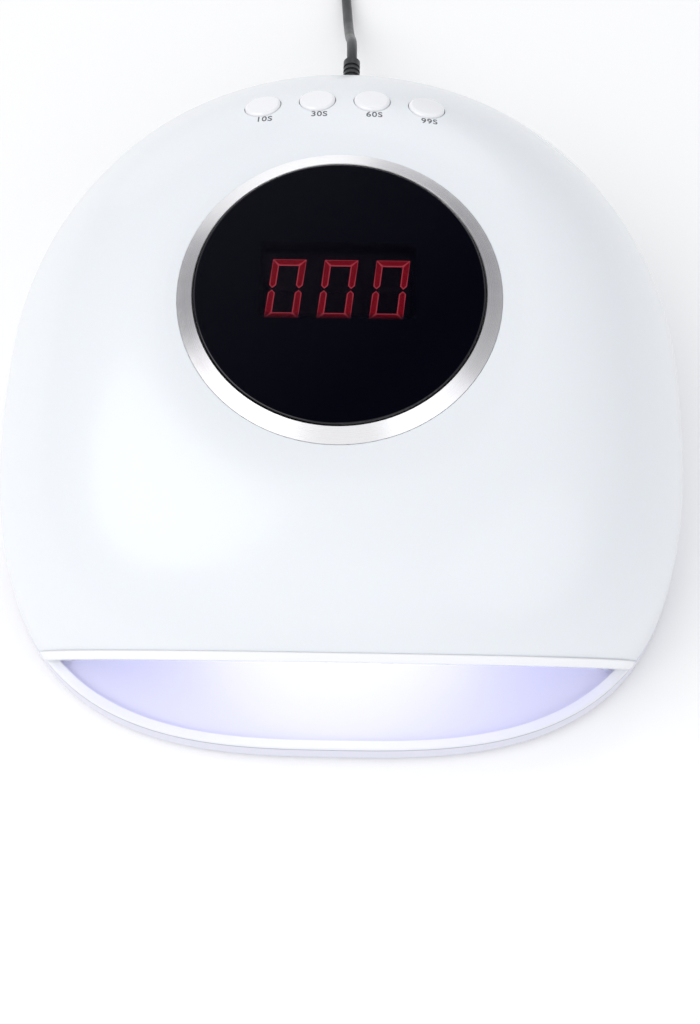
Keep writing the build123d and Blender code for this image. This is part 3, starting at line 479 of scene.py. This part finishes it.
def bordered_segments(material):
    """The lit bars again; the material tells each top face's inner field from its border."""
    mesh = NODES["lit_segments"].data.copy()
    work = bmesh.new()
    work.from_mesh(mesh)
    bmesh.ops.remove_doubles(work, verts=work.verts, dist=0.001 * MM)
    bmesh.ops.dissolve_limit(work, angle_limit=math.radians(2), verts=work.verts, edges=work.edges)
    layer = work.verts.layers.float.new("border")
    for vert in work.verts:
        vert[layer] = 1.0
    tops = [face for face in work.faces if face.normal.z > 0.9]
    bmesh.ops.inset_individual(work, faces=tops, thickness=SEGMENT_BORDER, depth=0.0)
    for face in tops:
        for vert in face.verts:
            vert[layer] = 0.0
    bmesh.ops.triangulate(work, faces=work.faces)
    work.to_mesh(mesh)
    work.free()
    piece = new_piece("glowing_segments", mesh, "housing", material)
    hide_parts("lit_segments")


def surface_point(node, point, direction):
    """Where a ray through a point meets a CAD node, and the surface's normal there."""
    back = direction.normalized() * RAY_REACH
    hit, place, normal, _ = NODES[node].ray_cast(point - back, direction.normalized())
    return (place, normal) if hit else (None, None)


def button_label(name, material):
    """A timer setting printed on the dome in front of its button."""
    low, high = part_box("button_cap_" + name)
    middle = (low + high) / 2
    down = Vector((0, 0, -1))
    ahead = Vector((middle.x + LABEL_ASIDE, high.y - CAP_MIDDLE - LABEL_AHEAD, high.z))
    centre, normal = surface_point("upper_shell", ahead, down)
    across = Vector((0, 1, 0)).cross(normal).normalized()
    up = normal.cross(across)
    text = bpy.data.curves.new("text_" + name, "FONT")
    text.body = LABEL_TEXTS[name]
    text.size = LABEL_SIZE
    text.align_x, text.align_y = "CENTER", "CENTER"
    text.extrude = LABEL_LIFT
    text.offset = LABEL_BOLD
    text.space_character = LABEL_SPACING
    carrier = bpy.data.objects.new("carrier_" + name, text)
    mesh = bpy.data.meshes.new_from_object(carrier)
    bpy.data.objects.remove(carrier)
    for vert in mesh.vertices:
        flat = centre + across * vert.co.x + up * vert.co.y
        place, _ = surface_point("upper_shell", flat, -normal)
        vert.co = (place or flat) + normal * vert.co.z
    new_piece("label_" + name, mesh, "housing", material)


# ---- Light and view ----
def area_light(name, place, target, size, watts, colour=(1, 1, 1)):
    data = bpy.data.lights.new(name, "AREA")
    data.shape = "DISK"
    data.size = size
    data.energy = watts
    data.color = colour
    light = bpy.data.objects.new(name, data)
    light.location = place
    light.rotation_euler = (Vector(target) - Vector(place)).to_track_quat("-Z", "Y").to_euler()
    bpy.context.scene.collection.objects.link(light)
    return light


def chamber_light():
    """The beads' light on the base's floor: one soft, faintly violet disc under the ceiling."""
    low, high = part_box("ceiling_leds")
    middle = (low + high) / 2
    place = Vector((middle.x, middle.y - CHAMBER_LIGHT_AHEAD, low.z - CHAMBER_LIGHT_DROP))
    below = place - Vector((0, 0, 1))
    size = (high - low).x * CHAMBER_LIGHT_SPREAD
    light = area_light("chamber_light", place, below, size, CHAMBER_LIGHT_WATTS, CHAMBER_LIGHT)
    light.visible_camera = False
    light.parent = frame["bodies"]["housing"]


def studio():
    world = bpy.data.worlds.new("studio")
    world.use_nodes = True
    background = world.node_tree.nodes["Background"]
    background.inputs[0].default_value = WORLD_COLOUR
    background.inputs[1].default_value = WORLD_STRENGTH
    bpy.context.scene.world = world
    for name, (place, size, watts, colour) in STUDIO_LIGHTS.items():
        area_light(name, place, LAMP_MIDDLE, size, watts, colour)
    glint = area_light("glint", GLINT_PLACE, GLINT_TARGET, GLINT_SIZE, GLINT_WATTS)
    glint.visible_diffuse = False


def square_card(name, half, height):
    """A level square mesh of a half width, centred over its object's origin."""
    mesh = bpy.data.meshes.new(name)
    corners = [(-half, -half, height), (half, -half, height), (half, half, height), (-half, half, height)]
    mesh.from_pydata(corners, [], [(0, 1, 2, 3)])
    card = bpy.data.objects.new(name, mesh)
    bpy.context.scene.collection.objects.link(card)
    return card


def flag():
    """A dark card overhead that only shiny surfaces see, so the window mirrors no bright ceiling."""
    card = square_card("flag", FLAG_HALF, FLAG_HEIGHT)
    card.location = FLAG_PLACE
    paint = Paint("flag", Roughness=1.0, Specular_IOR_Level=0.0)
    split = paint.add("SeparateXYZ", {0: paint.place})
    corner = paint.maths("SUBTRACT", split.outputs[1], split.outputs[0])
    lift = paint.ramp(corner, 0.0, 1.0, 0.05, 0.5)
    paint.set(Base_Color=paint.mix(lift, rgb(0.0, 0.0, 0.002), rgb(0.16, 0.16, 0.18)))
    card.data.materials.append(paint.material)
    card.visible_camera = card.visible_diffuse = card.visible_shadow = False


def floor():
    """Pale plain table top, slightly uneven in tone."""
    plane = square_card("floor", FLOOR_HALF, 0)
    plane.location.z = CAD_LOW.z - FLOOR_GAP
    paint = Paint("floor", Roughness=0.6, Emission_Color=rgb(1.0, 1.0, 1.0), Emission_Strength=0.05)
    paint.set(Base_Color=paint.mix(paint.noise(3.0), rgb(0.96, 0.96, 0.965), rgb(0.975, 0.975, 0.975)))
    plane.data.materials.append(paint.material)


def camera():
    data = bpy.data.cameras.new("camera")
    data.lens = CAMERA_LENS
    data.clip_start = 0.01
    view = bpy.data.objects.new("camera", data)
    back = Vector((0, -math.cos(CAMERA_ELEVATION), math.sin(CAMERA_ELEVATION)))
    back.rotate(Matrix.Rotation(CAMERA_AZIMUTH, 3, "Z"))
    turn = (-back).to_track_quat("-Z", "Y").to_matrix() @ Matrix.Rotation(CAMERA_ROLL, 3, "Z")
    view.matrix_world = Matrix.Translation(CAMERA_AIM + back * CAMERA_DISTANCE) @ turn.to_4x4()
    bpy.context.scene.collection.objects.link(view)
    bpy.context.scene.camera = view


# ---- Assembly ----
materials = make_materials()
for name, node in NODES.items():
    node.data.materials.clear()
    node.data.materials.append(materials[SLOTS[name]])
bordered_segments(materials["segment_red"])
ink = label_ink()
for label in LABEL_TEXTS:
    button_label(label, ink)
chamber_light()
studio()
flag()
floor()
camera()
bpy.context.scene.view_settings.view_transform = "Standard"
